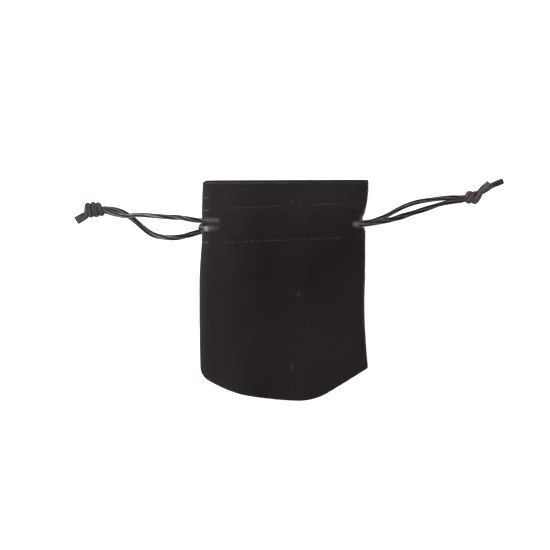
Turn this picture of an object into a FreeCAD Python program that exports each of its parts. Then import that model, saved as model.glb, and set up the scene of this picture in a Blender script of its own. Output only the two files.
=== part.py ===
import FreeCAD, Part
import math
import os

# A small velvet drawstring pouch for dice, empty and lying on its back, 3 by 4 inches.
# Millimetres. +Y points to the mouth, +Z away from the table, +X to the right.
# The origin is the middle of the pouch's footprint, on the table.

V = FreeCAD.Vector

# Driving dimensions of the cloth
HALF_WIDTH = 38.6
HALF_LENGTH = 50.7
CLOTH = 0.8
HEM_CLOTH = 0.5
SEAM_HEIGHT = 4.6
BACK_ROUNDING = 3.0
FRONT_ROUNDING = 3.6

# Heights of the front face over the table
CASING_TOP = 11.2
HEADER_TOP = 9.1
TOE_TOP = 6.0
TOE_START_Y = -20.0

# The casing: two nearly level lines of stitches, with the tunnel for the cords between them
UPPER_LINE_Y = 38.5
LOWER_LINE_Y = 22.85
CASING_TILT = 2.2
LINE_MARGIN = 0.8
RAMP = 1.5
HEM_BELOW_LINE = 2.5
TUNNEL = 2.1

# Stitches
STITCH_PITCH = 3.0
STITCH_LENGTH = 2.1
STITCH_RADIUS = 0.2
STITCH_LINE_HALF = 34.5
SEAM_STITCH_INSET = 2.2

# Cords
CORD = 2.0
ARC_SHARE = 0.45
TABLE_GAP = 0.02
FLOOR_Z = CORD / 2 + TABLE_GAP
BACK_RUN_Z = CLOTH + TUNNEL / 2
FRONT_RUN_Z = CASING_TOP - CLOTH - TUNNEL / 2
FRONT_HEM_Z = FRONT_RUN_Z - TUNNEL / 2 - HEM_CLOTH
EXIT_X = 38.0

# Where each cord leaves the casing: the level of the run in the front and in the back
LEFT_CORD_AT_LEFT = {"front": 32.1, "back": 27.2}
LEFT_CORD_AT_RIGHT = {"front": 32.9, "back": 27.8}
RIGHT_CORD_AT_LEFT = {"front": 28.2, "back": 30.0}
RIGHT_CORD_AT_RIGHT = {"front": 30.0, "back": 31.6}
LEFT_BIGHT_X = -38.6
RIGHT_BIGHT_X = 36.4

# The slits by the side seams: how far in they reach, and their middle and half height
LEFT_SLIT_END = -29.2
RIGHT_SLIT_END = 31.3
HEM_END = 31.8
SLIT_ROUNDING = 0.5
LEFT_SLIT = {"front": (30.15, 3.6), "back": (28.6, 3.4)}
RIGHT_SLIT = {"front": (31.45, 3.1), "back": (29.8, 3.4)}

# Free strands, from the slit to the knot
LEFT_FRONT_STRAND = [
    (-38.0, 32.1, FRONT_RUN_Z),
    (-42.5, 32.8, 8.9),
    (-47.4, 33.7, 4.7),
    (-52.4, 33.8, 1.4),
    (-57.8, 34.3, FLOOR_Z),
    (-63.3, 34.7, 1.5),
    (-68.3, 35.1, 3.4),
    (-72.7, 34.2, 3.4),
    (-77.6, 35.1, 3.4),
    (-82.6, 36.7, 3.5),
]
LEFT_BACK_STRAND = [
    (-38.0, 27.2, BACK_RUN_Z),
    (-43.6, 25.6, FLOOR_Z),
    (-49.4, 23.7, FLOOR_Z),
    (-55.3, 23.8, FLOOR_Z),
    (-60.8, 25.3, FLOOR_Z),
    (-65.3, 28.8, FLOOR_Z),
    (-69.6, 32.7, FLOOR_Z),
    (-74.2, 36.3, FLOOR_Z),
    (-78.6, 37.7, 1.1),
    (-82.6, 38.0, 1.4),
]
RIGHT_FRONT_STRAND = [
    (38.0, 30.0, FRONT_RUN_Z),
    (42.3, 30.6, 8.9),
    (47.0, 31.8, 4.7),
    (51.8, 33.3, 1.4),
    (57.0, 35.1, FLOOR_Z),
    (62.3, 37.0, FLOOR_Z),
    (67.4, 39.0, FLOOR_Z),
    (72.6, 40.8, FLOOR_Z),
    (77.6, 41.5, 1.1),
    (82.9, 41.9, 1.5),
]
RIGHT_BACK_STRAND = [
    (38.0, 31.6, BACK_RUN_Z),
    (42.2, 32.3, FLOOR_Z),
    (46.6, 34.3, FLOOR_Z),
    (51.3, 37.2, FLOOR_Z),
    (56.3, 39.7, FLOOR_Z),
    (61.8, 41.4, FLOOR_Z),
    (67.5, 42.3, FLOOR_Z),
    (73.2, 43.1, 1.3),
    (78.4, 43.4, 2.6),
    (82.9, 43.1, 3.5),
]

# Knots: middle, direction in the table's plane in degrees, and the cut tails
KNOT_HALF_LENGTH = 4.2
KNOT_END_RADIUS = 1.9
KNOT_RADIUS = 2.6
LEFT_KNOT = (-87.0, 37.3)
LEFT_KNOT_ANGLE = 4.0
RIGHT_KNOT = (87.0, 42.9)
RIGHT_KNOT_ANGLE = 16.0
LEFT_TAILS = [
    [(-87.6, 35.6, 2.6), (-91.6, 33.4, 2.2), (-95.5, 31.7, 1.5)],
    [(-88.6, 37.0, 1.6), (-92.4, 35.2, 1.2), (-96.0, 33.9, FLOOR_Z)],
]
RIGHT_TAILS = [
    [(88.6, 43.8, 1.4), (92.2, 46.2, 1.2), (96.0, 48.6, FLOOR_Z), (100.3, 50.1, FLOOR_Z)],
    [(87.6, 44.6, 3.3), (90.8, 46.8, 3.0), (93.8, 49.2, 2.8)],
]


def outline_wire(inset, height, mouth_reach=0.0):
    """The outline at one height, pulled in by inset except at the mouth, which moves out by reach."""
    shrink_x = 1 - inset / HALF_WIDTH
    shrink_toe = 1 - inset / HALF_LENGTH

    def at(point):
        x, y = point
        if y < 0:
            y = y * shrink_toe
        if y > UPPER_LINE_Y:
            y = y + mouth_reach
        return V(x * shrink_x, y, height)

    def line(start, end):
        return Part.LineSegment(at(start), at(end)).toShape()

    def arc(start, middle, end):
        return Part.Arc(at(start), at(middle), at(end)).toShape()

    header_left = (-37.2, 48.4)
    mouth_left = (-35.2, 50.4)
    mouth_right = (37.6, 50.7)
    header_right = (38.6, 49.7)
    pinch = (35.9, 33.7)
    below_casing_right = (36.7, 27.2)
    sharp_corner = (38.2, -35.8)
    toe_right = (20.5, -46.4)
    toe = (5.9, -50.7)
    toe_left = (-20.2, -47.4)
    round_corner_start = (-34.6, -40.9)
    round_corner_end = (-38.2, -34.6)
    below_casing_left = (-37.5, 21.7)
    return Part.Wire([
        arc(header_left, (-36.6, 49.9), mouth_left),
        line(mouth_left, mouth_right),
        arc(mouth_right, (38.3, 50.4), header_right),
        arc(header_right, (38.0, 42.0), pinch),
        arc(pinch, (36.0, 30.4), below_casing_right),
        arc(below_casing_right, (36.4, -6.0), sharp_corner),
        line(sharp_corner, toe_right),
        arc(toe_right, (13.5, -49.6), toe),
        arc(toe, (-8.0, -49.7), toe_left),
        arc(toe_left, (-28.9, -43.9), round_corner_start),
        arc(round_corner_start, (-37.1, -38.6), round_corner_end),
        arc(round_corner_end, (-38.53, -5.0), below_casing_left),
        line(below_casing_left, header_left),
    ])


def ribbon(profile):
    """A solid with this outline in Y and Z, run across the pouch along the tilted casing."""
    reach = 2 * HALF_WIDTH
    corners = [V(-reach, y, z) for y, z in profile]
    face = Part.Face(Part.makePolygon(corners + corners[:1]))
    solid = face.extrude(V(2 * reach, 0, 0))
    middle = V(0, (UPPER_LINE_Y + LOWER_LINE_Y) / 2, 0)
    solid.rotate(middle, V(0, 0, 1), CASING_TILT)
    return solid


def casing_steps(low, high):
    """Y and Z of a face that steps from low to high between the two lines of stitches."""
    return [
        (LOWER_LINE_Y + LINE_MARGIN, low),
        (LOWER_LINE_Y + LINE_MARGIN + RAMP, high),
        (UPPER_LINE_Y - LINE_MARGIN - RAMP, high),
        (UPPER_LINE_Y - LINE_MARGIN, low),
    ]


def front_half(inset, drop, mouth_reach):
    """What the front panel encloses over the seam's height."""
    walls = Part.makeLoft([
        outline_wire(inset, SEAM_HEIGHT, mouth_reach),
        outline_wire(inset + FRONT_ROUNDING, CASING_TOP, mouth_reach),
    ], True, True)
    far = 2 * HALF_LENGTH
    toe_fall = (HEADER_TOP - TOE_TOP) / (HALF_LENGTH + TOE_START_Y)
    toe_far = HEADER_TOP - toe_fall * (far + TOE_START_Y)
    top = [(-far, toe_far - drop), (TOE_START_Y, HEADER_TOP - drop)]
    top += casing_steps(HEADER_TOP - drop, CASING_TOP - drop)
    top += [(far, HEADER_TOP - drop), (far, -far), (-far, -far)]
    return walls.common(ribbon(top))


def back_half(inset, rise, mouth_reach):
    """What the back panel encloses under the seam's height."""
    slope = BACK_ROUNDING / SEAM_HEIGHT
    return Part.makeLoft([
        outline_wire(inset + BACK_ROUNDING - slope * rise, rise, mouth_reach),
        outline_wire(inset, SEAM_HEIGHT, mouth_reach),
    ], True, True)


def outside(face):
    """Half of the closed pouch, up to the cloth's outer face."""
    if face == "front":
        return front_half(0, 0, 0)
    return back_half(0, 0, 0)


def inside(face):
    """The room inside that half, open at the mouth."""
    past_mouth = HALF_LENGTH / 5
    if face == "front":
        return front_half(CLOTH, CLOTH, past_mouth)
    return back_half(CLOTH, CLOTH, past_mouth)


def slit(side, face, end):
    """The cutter for the slit by one side seam, from its round end at x = end out past the edge."""
    middle, half = {-1: LEFT_SLIT, 1: RIGHT_SLIT}[side][face]
    low = {"front": SEAM_HEIGHT, "back": -CASING_TOP}[face]
    high = {"front": 2 * CASING_TOP, "back": SEAM_HEIGHT}[face]
    far = side * 2 * HALF_WIDTH
    round_x = end + side * half * SLIT_ROUNDING
    lower_start = V(far, middle - half, low)
    lower_end = V(round_x, middle - half, low)
    upper_end = V(round_x, middle + half, low)
    upper_start = V(far, middle + half, low)
    edges = [
        Part.LineSegment(lower_start, lower_end).toShape(),
        Part.Arc(lower_end, V(end, middle, low), upper_end).toShape(),
        Part.LineSegment(upper_end, upper_start).toShape(),
        Part.LineSegment(upper_start, lower_start).toShape(),
    ]
    return Part.Face(Part.Wire(edges)).extrude(V(0, 0, high - low))


def panel(face):
    """One velvet panel, with its sides turned to meet the other panel at the seam."""
    shell = outside(face).cut(inside(face))
    shell = shell.cut(slit(-1, face, LEFT_SLIT_END))
    return shell.cut(slit(1, face, RIGHT_SLIT_END))


def casing_hem(face):
    """The top of one panel turned in, sewn down on both sides of the cords' tunnel."""
    low_edge = LOWER_LINE_Y - HEM_BELOW_LINE
    high_edge = HALF_LENGTH + CLOTH
    if face == "front":
        lower = [(low_edge, FRONT_HEM_Z), (high_edge, FRONT_HEM_Z)]
    else:
        lower = [(low_edge, CLOTH)] + casing_steps(CLOTH, CLOTH + TUNNEL) + [(high_edge, CLOTH)]
    upper = [(y, z + HEM_CLOTH) for y, z in reversed(lower)]
    hem = ribbon(lower + upper).common(inside(face)).common(outside(face))
    for side in (-1, 1):
        hem = hem.cut(slit(side, face, side * HEM_END))
    return hem


def on_casing(along, across, height):
    """A point on the tilted casing: along it from its middle, and across it."""
    middle = (UPPER_LINE_Y + LOWER_LINE_Y) / 2
    tilt = math.radians(CASING_TILT)
    y = across - middle
    return V(
        along * math.cos(tilt) - y * math.sin(tilt),
        middle + along * math.sin(tilt) + y * math.cos(tilt),
        height,
    )


def stitch(start, end, radius):
    """One straight stitch of thread."""
    return Part.makeCylinder(radius, (end - start).Length, start, end - start)


def stitch_line(across, height):
    """One line of stitches along the casing, half sunk in the cloth."""
    count = int(2 * STITCH_LINE_HALF / STITCH_PITCH)
    stitches = []
    for index in range(count):
        along = -STITCH_LINE_HALF + index * STITCH_PITCH
        start = on_casing(along, across, height)
        end = on_casing(along + STITCH_LENGTH, across, height)
        stitches.append(stitch(start, end, STITCH_RADIUS))
    return Part.makeCompound(stitches)


def side_and_bottom_seam():
    """The seam that joins the panels, inside the edge, from one slit round the toe to the other."""
    casing_reach = 5.5
    mouth_clearance = 3.0
    casing_middle = (UPPER_LINE_Y + LOWER_LINE_Y) / 2
    wire = outline_wire(SEAM_STITCH_INSET, SEAM_HEIGHT)
    points = wire.discretize(Number=int(wire.Length / STITCH_PITCH))
    stitches = []
    for start, after in zip(points, points[1:]):
        at_mouth = max(start.y, after.y) > HALF_LENGTH - mouth_clearance
        at_slit = abs(start.y - casing_middle) < casing_reach
        if at_mouth or at_slit:
            continue
        end = start + (after - start) * (STITCH_LENGTH / STITCH_PITCH)
        stitches.append(stitch(start, end, STITCH_RADIUS))
    return Part.makeCompound(stitches)


def left_edge_tacks():
    """Three bar tacks by the left edge, where the lines of stitches begin and in the header."""
    tack_radius = 0.35
    low_end = (-36.95, 5.5)
    high_end = (-35.3, 8.75)
    header_tack_y = 42.7
    levels = [on_casing(low_end[0], across, 0).y for across in (LOWER_LINE_Y, UPPER_LINE_Y)]
    tacks = []
    for level in levels + [header_tack_y]:
        start = V(low_end[0], level, low_end[1])
        end = V(high_end[0], level, high_end[1])
        tacks.append(stitch(start, end, tack_radius))
    return Part.makeCompound(tacks)


def cord_tube(name, route):
    """A round cord along straight runs joined by tangent arcs as large as the runs allow."""
    corners = [V(*point) for point in route]
    edges = []
    radii = []
    run_start = corners[0]
    for before, corner, after in zip(corners, corners[1:], corners[2:]):
        coming = corner - before
        going = after - corner
        turn = coming.getAngle(going)
        tangent = ARC_SHARE * min(coming.Length, going.Length)
        radius = tangent / math.tan(turn / 2)
        radii.append(radius)
        coming.normalize()
        going.normalize()
        inward = going - coming
        inward.normalize()
        arc_start = corner - coming * tangent
        arc_end = corner + going * tangent
        arc_middle = corner + inward * (radius / math.cos(turn / 2) - radius)
        edges.append(Part.LineSegment(run_start, arc_start).toShape())
        edges.append(Part.Arc(arc_start, arc_middle, arc_end).toShape())
        run_start = arc_end
    edges.append(Part.LineSegment(run_start, corners[-1]).toShape())
    path = Part.Wire(edges)
    section = Part.Wire(Part.makeCircle(CORD / 2, corners[0], corners[1] - corners[0]))
    tube = path.makePipeShell([section], True, False)
    expected = math.pi * (CORD / 2) ** 2 * path.Length
    print(name, "length", round(path.Length, 2), "volume ratio", round(tube.Volume / expected, 4),
          "radii", [round(radius, 1) for radius in radii])
    return tube


def casing_loop(side):
    """The part of one cord inside the casing: front run, the bight round the far edge, back run."""
    if side < 0:
        near, far, bight_x = LEFT_CORD_AT_LEFT, LEFT_CORD_AT_RIGHT, RIGHT_BIGHT_X
    else:
        near, far, bight_x = RIGHT_CORD_AT_RIGHT, RIGHT_CORD_AT_LEFT, LEFT_BIGHT_X
    exit_x = side * EXIT_X
    return [
        (exit_x, near["front"], FRONT_RUN_Z),
        (bight_x, far["front"], FRONT_RUN_Z),
        (bight_x, far["back"], BACK_RUN_Z),
        (exit_x, near["back"], BACK_RUN_Z),
    ]


def knot(centre, angle):
    """The outer shape of an overhand knot tied in both strands, lying on the table."""
    end_left = V(-KNOT_HALF_LENGTH, 0, 0)
    end_right = V(KNOT_HALF_LENGTH, 0, 0)
    shoulder_left = V(-KNOT_HALF_LENGTH, KNOT_END_RADIUS, 0)
    shoulder_right = V(KNOT_HALF_LENGTH, KNOT_END_RADIUS, 0)
    profile = Part.Wire([
        Part.LineSegment(end_left, shoulder_left).toShape(),
        Part.Arc(shoulder_left, V(0, KNOT_RADIUS, 0), shoulder_right).toShape(),
        Part.LineSegment(shoulder_right, end_right).toShape(),
        Part.LineSegment(end_right, end_left).toShape(),
    ])
    barrel = Part.Face(profile).revolve(V(0, 0, 0), V(1, 0, 0), 360)
    barrel.rotate(V(0, 0, 0), V(0, 0, 1), angle)
    barrel.translate(V(centre[0], centre[1], KNOT_RADIUS + TABLE_GAP))
    return barrel


def tails(name, routes, tied):
    """The two cut ends that come out of a knot, cut off where the knot begins."""
    tubes = [cord_tube(name, route).cut(tied) for route in routes]
    return Part.makeCompound([tube.Solids[0] for tube in tubes])


def drawcord(name, side, front_strand, back_strand, knot_centre, knot_angle, tail_routes):
    """One whole cord, as its two strands, its loop in the casing, its knot and its tails."""
    tied = knot(knot_centre, knot_angle)
    return {
        name + "_front_strand": cord_tube(name + "_front_strand", front_strand).cut(tied),
        name + "_back_strand": cord_tube(name + "_back_strand", back_strand).cut(tied),
        name + "_casing_loop": cord_tube(name + "_casing_loop", casing_loop(side)),
        name + "_knot": tied,
        name + "_tails": tails(name + "_tails", tail_routes, tied),
    }


nodes = {
    "front_panel": panel("front"),
    "back_panel": panel("back"),
    "front_casing_hem": casing_hem("front"),
    "back_casing_hem": casing_hem("back"),
    "front_upper_stitching": stitch_line(UPPER_LINE_Y, HEADER_TOP),
    "front_lower_stitching": stitch_line(LOWER_LINE_Y, HEADER_TOP),
    "back_upper_stitching": stitch_line(UPPER_LINE_Y, STITCH_RADIUS + TABLE_GAP),
    "back_lower_stitching": stitch_line(LOWER_LINE_Y, STITCH_RADIUS + TABLE_GAP),
    "side_and_bottom_seam": side_and_bottom_seam(),
    "left_edge_tacks": left_edge_tacks(),
}
nodes.update(drawcord("left_cord", -1, LEFT_FRONT_STRAND, LEFT_BACK_STRAND,
                      LEFT_KNOT, LEFT_KNOT_ANGLE, LEFT_TAILS))
nodes.update(drawcord("right_cord", 1, RIGHT_FRONT_STRAND, RIGHT_BACK_STRAND,
                      RIGHT_KNOT, RIGHT_KNOT_ANGLE, RIGHT_TAILS))

os.makedirs("parts", exist_ok=True)
for node, shape in nodes.items():
    shape.exportStep("parts/" + node + ".step")
    box = shape.BoundBox
    print(node, "solids", len(shape.Solids), "valid", shape.isValid(),
          "volume", round(shape.Volume, 2),
          "box", [round(value, 2) for value in (box.XMin, box.YMin, box.ZMin, box.XMax, box.YMax, box.ZMax)])
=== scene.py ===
import math

import bmesh
import bpy
import numpy as np
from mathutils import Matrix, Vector
from mathutils.bvhtree import BVHTree


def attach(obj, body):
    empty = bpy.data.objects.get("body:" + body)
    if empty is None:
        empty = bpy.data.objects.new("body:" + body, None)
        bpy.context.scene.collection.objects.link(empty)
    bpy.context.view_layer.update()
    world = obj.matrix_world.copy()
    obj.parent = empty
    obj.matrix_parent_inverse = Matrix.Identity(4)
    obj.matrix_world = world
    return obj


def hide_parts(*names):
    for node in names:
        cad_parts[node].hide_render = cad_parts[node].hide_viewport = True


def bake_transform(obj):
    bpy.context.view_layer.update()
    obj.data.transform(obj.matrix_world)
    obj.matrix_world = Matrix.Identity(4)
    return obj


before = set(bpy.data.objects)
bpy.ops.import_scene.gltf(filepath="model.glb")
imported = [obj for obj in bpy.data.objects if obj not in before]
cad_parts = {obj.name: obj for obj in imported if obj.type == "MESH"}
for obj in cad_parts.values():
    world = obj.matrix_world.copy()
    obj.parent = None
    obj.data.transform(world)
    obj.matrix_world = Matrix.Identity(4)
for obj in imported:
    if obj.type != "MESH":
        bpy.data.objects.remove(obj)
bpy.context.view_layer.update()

MM = 0.001
POUCH, LEFT_CORD, RIGHT_CORD = "pouch", "left_drawcord", "right_drawcord"
HALVES = {"left": -1, "right": 1}

# ---- dimensions, in millimetres

UPPER_LINE_Y = 38.5
LOWER_LINE_Y = 22.85
TILT = math.tan(math.radians(2.2))
SEAM_Z = 4.6
CLOTH = 0.62
HEM_CLOTH = 0.42
FOLD_RADIUS = 0.7
CREASE = 0.42
CORD = 2.0
TABLE_GAP = 0.02
MOUTH_Y = 50.4
PULLED_IN_X = 36.0
HEM_END_Y = 20.3
# How deep the round edge of each face is, and the heights of the cloth round the cords at the slits
INNER_EDGE = 9.0
FRONT_TOP, FRONT_SLIT_Z, BACK_SLIT_Z, STRETCHED_Z = 9.1, 8.28, 2.96, 9.35
TUNNEL_RISE, RIDGE_RISE, CREST_RISE, BACK_TUNNEL_RISE = 1.45, 0.4, 1.65, 2.15
STITCH_RADIUS, SEAM_RADIUS, TACK_RADIUS = 0.15, 0.2, 0.17
STITCH_STEP = 3.0

LEFT_FRONT_STRAND = [
    (-38.0, 31.7, 9.35), (-42.5, 32.3, 8.9), (-47.4, 33.4, 4.7), (-52.4, 33.6, 1.4), (-57.8, 34.0, 1.02),
    (-63.3, 34.5, 1.5), (-68.3, 34.8, 3.4), (-72.7, 33.8, 3.4), (-77.6, 34.75, 3.4), (-82.6, 36.4, 3.5),
]
LEFT_BACK_STRAND = [
    (-38.0, 27.2, 1.85), (-43.6, 25.5, 1.02), (-49.4, 24.05, 1.02), (-55.3, 24.2, 1.02), (-60.8, 25.3, 1.02),
    (-65.3, 28.7, 1.02), (-69.6, 32.6, 1.02), (-74.2, 35.9, 1.02), (-78.6, 37.35, 1.1), (-82.6, 37.65, 1.4),
]
RIGHT_FRONT_STRAND = [
    (38.0, 30.2, 9.35), (42.3, 30.9, 8.9), (47.0, 31.8, 4.7), (51.8, 33.1, 1.4), (57.0, 34.85, 1.02),
    (62.3, 36.45, 1.02), (67.4, 38.1, 1.02), (72.6, 39.85, 1.02), (77.6, 40.8, 1.1), (82.9, 41.4, 1.5),
]
RIGHT_BACK_STRAND = [
    (38.0, 31.1, 1.85), (42.2, 32.2, 1.02), (46.6, 33.9, 1.02), (51.3, 36.6, 1.02), (56.3, 39.1, 1.02),
    (61.8, 40.8, 1.02), (67.5, 41.65, 1.02), (73.2, 42.4, 1.3), (78.4, 42.7, 2.6), (82.9, 42.6, 3.5),
]
# From the front exit, across the front, round the far edge and back behind, with the ends left out
LEFT_LOOP = [
    (-33.4, 31.85, 9.35), (27.3, 32.8, 9.35), (35.5, 32.9, 9.35),
    (35.5, 27.4, 1.85), (27.3, 27.45, 1.85), (-33.0, 27.24, 1.85),
]
RIGHT_LOOP = [
    (33.6, 30.0, 9.35), (-30.9, 28.38, 9.35), (-38.4, 28.0, 9.35),
    (-38.4, 30.1, 1.85), (-30.9, 30.45, 1.85), (33.8, 31.0, 1.85),
]
LEFT_KNOT = {"centre": (-87.65, 37.0, 2.95), "angle": 184.0, "core": 2.4, "half": 4.1}
RIGHT_KNOT = {"centre": (87.1, 42.65, 2.66), "angle": -4.0, "core": 1.5, "half": 3.4}
LEFT_TAILS = [[(-91.0, 33.8, 2.1), (-95.4, 31.2, 1.6)], [(-92.0, 35.2, 1.3), (-96.5, 32.6, 1.05)]]
RIGHT_TAILS = [[(92.2, 45.9, 1.2), (96.0, 48.5, 1.1), (101.0, 50.3, 1.1)],
               [(90.8, 46.5, 3.0), (94.3, 49.4, 2.8)]]


# ---- camera, light and floor

def add_object(name, data):
    made = bpy.data.objects.new(name, data)
    bpy.context.scene.collection.objects.link(made)
    return made


def add_camera():
    lens, sensor, view_width = 170.0, 36.0, 0.254
    data = bpy.data.cameras.new("camera")
    data.lens = lens
    data.sensor_width = sensor
    camera = add_object("camera", data)
    camera.location = (-0.0043, 0.0069, view_width * lens / sensor)
    bpy.context.scene.camera = camera


def area_light(name, place, aim, size, power):
    data = bpy.data.lights.new(name, "AREA")
    data.shape = "DISK"
    data.size = size
    data.energy = power
    light = add_object(name, data)
    light.location = place
    light.rotation_euler = (Vector(aim) - Vector(place)).to_track_quat("-Z", "Y").to_euler()


def add_studio():
    scene = bpy.context.scene
    scene.view_settings.view_transform = "Standard"
    world = bpy.data.worlds.new("studio")
    world.use_nodes = True
    background = world.node_tree.nodes["Background"]
    background.inputs["Color"].default_value = (1.0, 1.0, 1.0, 1.0)
    background.inputs["Strength"].default_value = 0.7
    scene.world = world
    area_light("key", (-0.95, 0.45, 0.75), (0.0, 0.01, 0.0), 0.8, 12.0)
    area_light("top", (-0.05, 0.05, 1.7), (0.0, 0.0, 0.0), 0.5, 38.0)
    mesh = bpy.data.meshes.new("floor")
    reach = 6.0
    mesh.from_pydata([(-reach, -reach, 0), (reach, -reach, 0), (reach, reach, 0), (-reach, reach, 0)], [],
                     [(0, 1, 2, 3)])
    mesh.materials.append(floor_material())
    add_object("floor", mesh)


# ---- materials

class Recipe:
    """A new material, with short calls for its nodes. Each call gives the socket that it makes."""

    def __init__(self, name):
        self.material = bpy.data.materials.new(name)
        self.material.use_nodes = True
        self.tree = self.material.node_tree

    def fill(self, node, inputs):
        for name, value in inputs.items():
            if isinstance(value, bpy.types.NodeSocket):
                self.tree.links.new(value, node.inputs[name])
            else:
                node.inputs[name].default_value = value

    def node(self, kind, output, inputs=(), **settings):
        made = self.tree.nodes.new("ShaderNode" + kind)
        for name, value in settings.items():
            setattr(made, name, value)
        self.fill(made, dict(inputs))
        return made.outputs[output]

    def noise(self, vector, scale, detail=2.0, roughness=0.5):
        return self.node("TexNoise", "Fac", {"Vector": vector, "Scale": scale, "Detail": detail,
                                             "Roughness": roughness})

    def stretched(self, vector, scale):
        return self.node("Mapping", "Vector", {"Vector": vector, "Scale": scale})

    def attribute(self, name):
        return self.node("Attribute", "Fac", attribute_name=name)

    def mix(self, factor, first, second, kind="MIX"):
        return self.node("Mix", "Result", {"Factor": factor, "A": first, "B": second},
                         data_type="RGBA", blend_type=kind)

    def bump(self, height, strength, distance, **before):
        return self.node("Bump", "Normal", {"Height": height, "Strength": strength, "Distance": distance,
                                            **before})

    def ramp(self, value, stops):
        node = self.tree.nodes.new("ShaderNodeValToRGB")
        elements = node.color_ramp.elements
        for element, (place, colour) in zip(elements, stops):
            element.position = place
            element.color = (*colour, 1)
        self.fill(node, {"Fac": value})
        return node.outputs["Color"]

    def finish(self, inputs):
        self.fill(self.tree.nodes["Principled BSDF"], inputs)
        return self.material


def grey(value):
    return (value, value, value)


def floor_material():
    return Recipe("floor").finish({"Base Color": (*grey(0.95), 1), "Roughness": 0.9,
                                   "Specular IOR Level": 0.0})


def velvet_material():
    """Short black pile: patches of paler and darker nap, fine nap, and a paler colour where light is painted
    on and where lint lies.
    """
    velvet = Recipe("velvet")
    place = velvet.node("TexCoord", "Object")
    patches = velvet.noise(velvet.stretched(place, (1.0, 0.7, 1.0)), 26.0)
    pile_patches_and_left_light = velvet.ramp(patches, [(0.36, (0.006, 0.0042, 0.0047)), (0.64, (0.0084, 0.0066, 0.0069))])
    nap = velvet.noise(place, 1500.0, 3.0, 0.7)
    black = velvet.mix(0.8, pile_patches_and_left_light, velvet.ramp(nap, [(0.25, grey(0.55)), (0.75, grey(1.0))]), "MULTIPLY")
    lay = velvet.noise(velvet.stretched(place, (1.0, 0.35, 1.0)), 420.0)
    # The paler colour is painted light on the pile (sheen, highlights, light from the left), and lint, by its
    # attribute
    return velvet.finish({
        "Base Color": velvet.mix(velvet.attribute("painted_light_and_lint"), black, (0.12, 0.108, 0.112, 1)),
        "Roughness": 0.95, "Specular IOR Level": 0.04,
        "Sheen Weight": 0.22, "Sheen Roughness": 0.4, "Sheen Tint": (0.9, 0.82, 0.84, 1),
        "Normal": velvet.bump(nap, 0.5, 0.00012, Normal=velvet.bump(lay, 0.35, 0.0004)),
    })


def thread_material(name, colour):
    """Spun thread, a little glossier than the pile round it."""
    thread = Recipe(name)
    place = thread.node("TexCoord", "Object")
    dark = tuple(value * 0.6 for value in colour)
    fibres = thread.noise(thread.stretched(place, (1.0, 4.0, 4.0)), 2500.0, 1.0)
    return thread.finish({
        "Base Color": thread.ramp(thread.noise(place, 900.0, 1.0), [(0.35, dark), (0.6, colour)]),
        "Roughness": 0.5, "Specular IOR Level": 0.12,
        "Normal": thread.bump(fibres, 0.5, 0.00008),
    })


def cord_material(name, dark, light):
    """Satin cord: lengthwise stripes of weave with painted glints, painted shade in the grooves between its
    ribs, browner stretches, painted light along it and a painted highlight on the turn of its loop.
    """
    cord = Recipe(name)
    along = cord.node("TexCoord", "UV")
    # Lengthwise stripes: the satin's weave, and painted glints on its floats in place of gloss
    weave_and_glint_streaks = cord.ramp(cord.noise(cord.stretched(along, (4.0, 22.0, 1.0)), 1.0, 3.0, 0.6),
                        [(0.36, grey(0.12)), (0.62, grey(1.0))])
    brown = (light[0], light[1] * 0.85, light[2] * 0.87)
    hue = cord.ramp(cord.noise(cord.node("TexCoord", "Object"), 95.0, 1.0), [(0.48, light), (0.62, brown)])
    # Painted light along the cord: its attribute makes stretches lighter or darker as the satin catches the
    # light
    satin_lit = cord.mix(1.0, hue, cord.attribute("satin_light"), "MULTIPLY")
    floats = cord.mix(0.8, satin_lit, weave_and_glint_streaks, "MULTIPLY")
    # Painted shade in the grooves between the ribs: the colour goes to the dark one there
    ribbed = cord.mix(cord.attribute("rib"), (*dark, 1), floats)
    fibres = cord.noise(cord.stretched(along, (40.0, 90.0, 1.0)), 1.0)
    # Painted highlight: a pale colour mixed into the top of the cord's turn by its attribute
    return cord.finish({
        "Base Color": cord.mix(cord.attribute("painted_highlight"), ribbed, (0.3, 0.28, 0.275, 1)),
        "Roughness": 0.45, "Specular IOR Level": 0.02,
        "Normal": cord.bump(fibres, 0.5, 0.0001),
    })


# ---- meshes

def new_object(name, points, faces, material):
    mesh = bpy.data.meshes.new(name)
    mesh.from_pydata([tuple(point) for point in np.asarray(points) * MM], [], faces)
    mesh.validate()
    mesh.polygons.foreach_set("use_smooth", [True] * len(mesh.polygons))
    mesh.materials.append(material)
    mesh.update()
    return add_object(name, mesh)


def smooth(low, high, value):
    share = np.clip((value - low) / (high - low), 0, 1)
    return share * share * (3 - 2 * share)


def lens(depth, radius):
    """The height of a quarter-circle edge, from 0 on the outline to 1 at radius inside it."""
    share = np.clip(depth / radius, 0, 1)
    return np.sqrt(np.clip(1 - (1 - share) ** 2, 0, 1))


def hump(value, middle, width):
    return np.exp(-((value - middle) / width) ** 2)


def between(value, start, risen, falling, end):
    """1 from risen to falling, and 0 before start and after end."""
    return smooth(start, risen, value) * (1 - smooth(falling, end, value))


# ---- the pouch's outline, from its panels

def panel_tree():
    points, faces = [], []
    for name in ("front_panel", "back_panel"):
        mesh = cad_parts[name].data
        start = len(points)
        points += [vertex.co.copy() for vertex in mesh.vertices]
        faces += [[start + index for index in polygon.vertices] for polygon in mesh.polygons]
    return BVHTree.FromPolygons(points, faces)


def edge_hits(tree, starts, direction):
    hits = []
    for start in starts:
        hit = tree.ray_cast(Vector(start) * MM, Vector(direction))[0]
        hits.append((hit.x / MM, hit.y / MM) if hit else None)
    return hits


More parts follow.
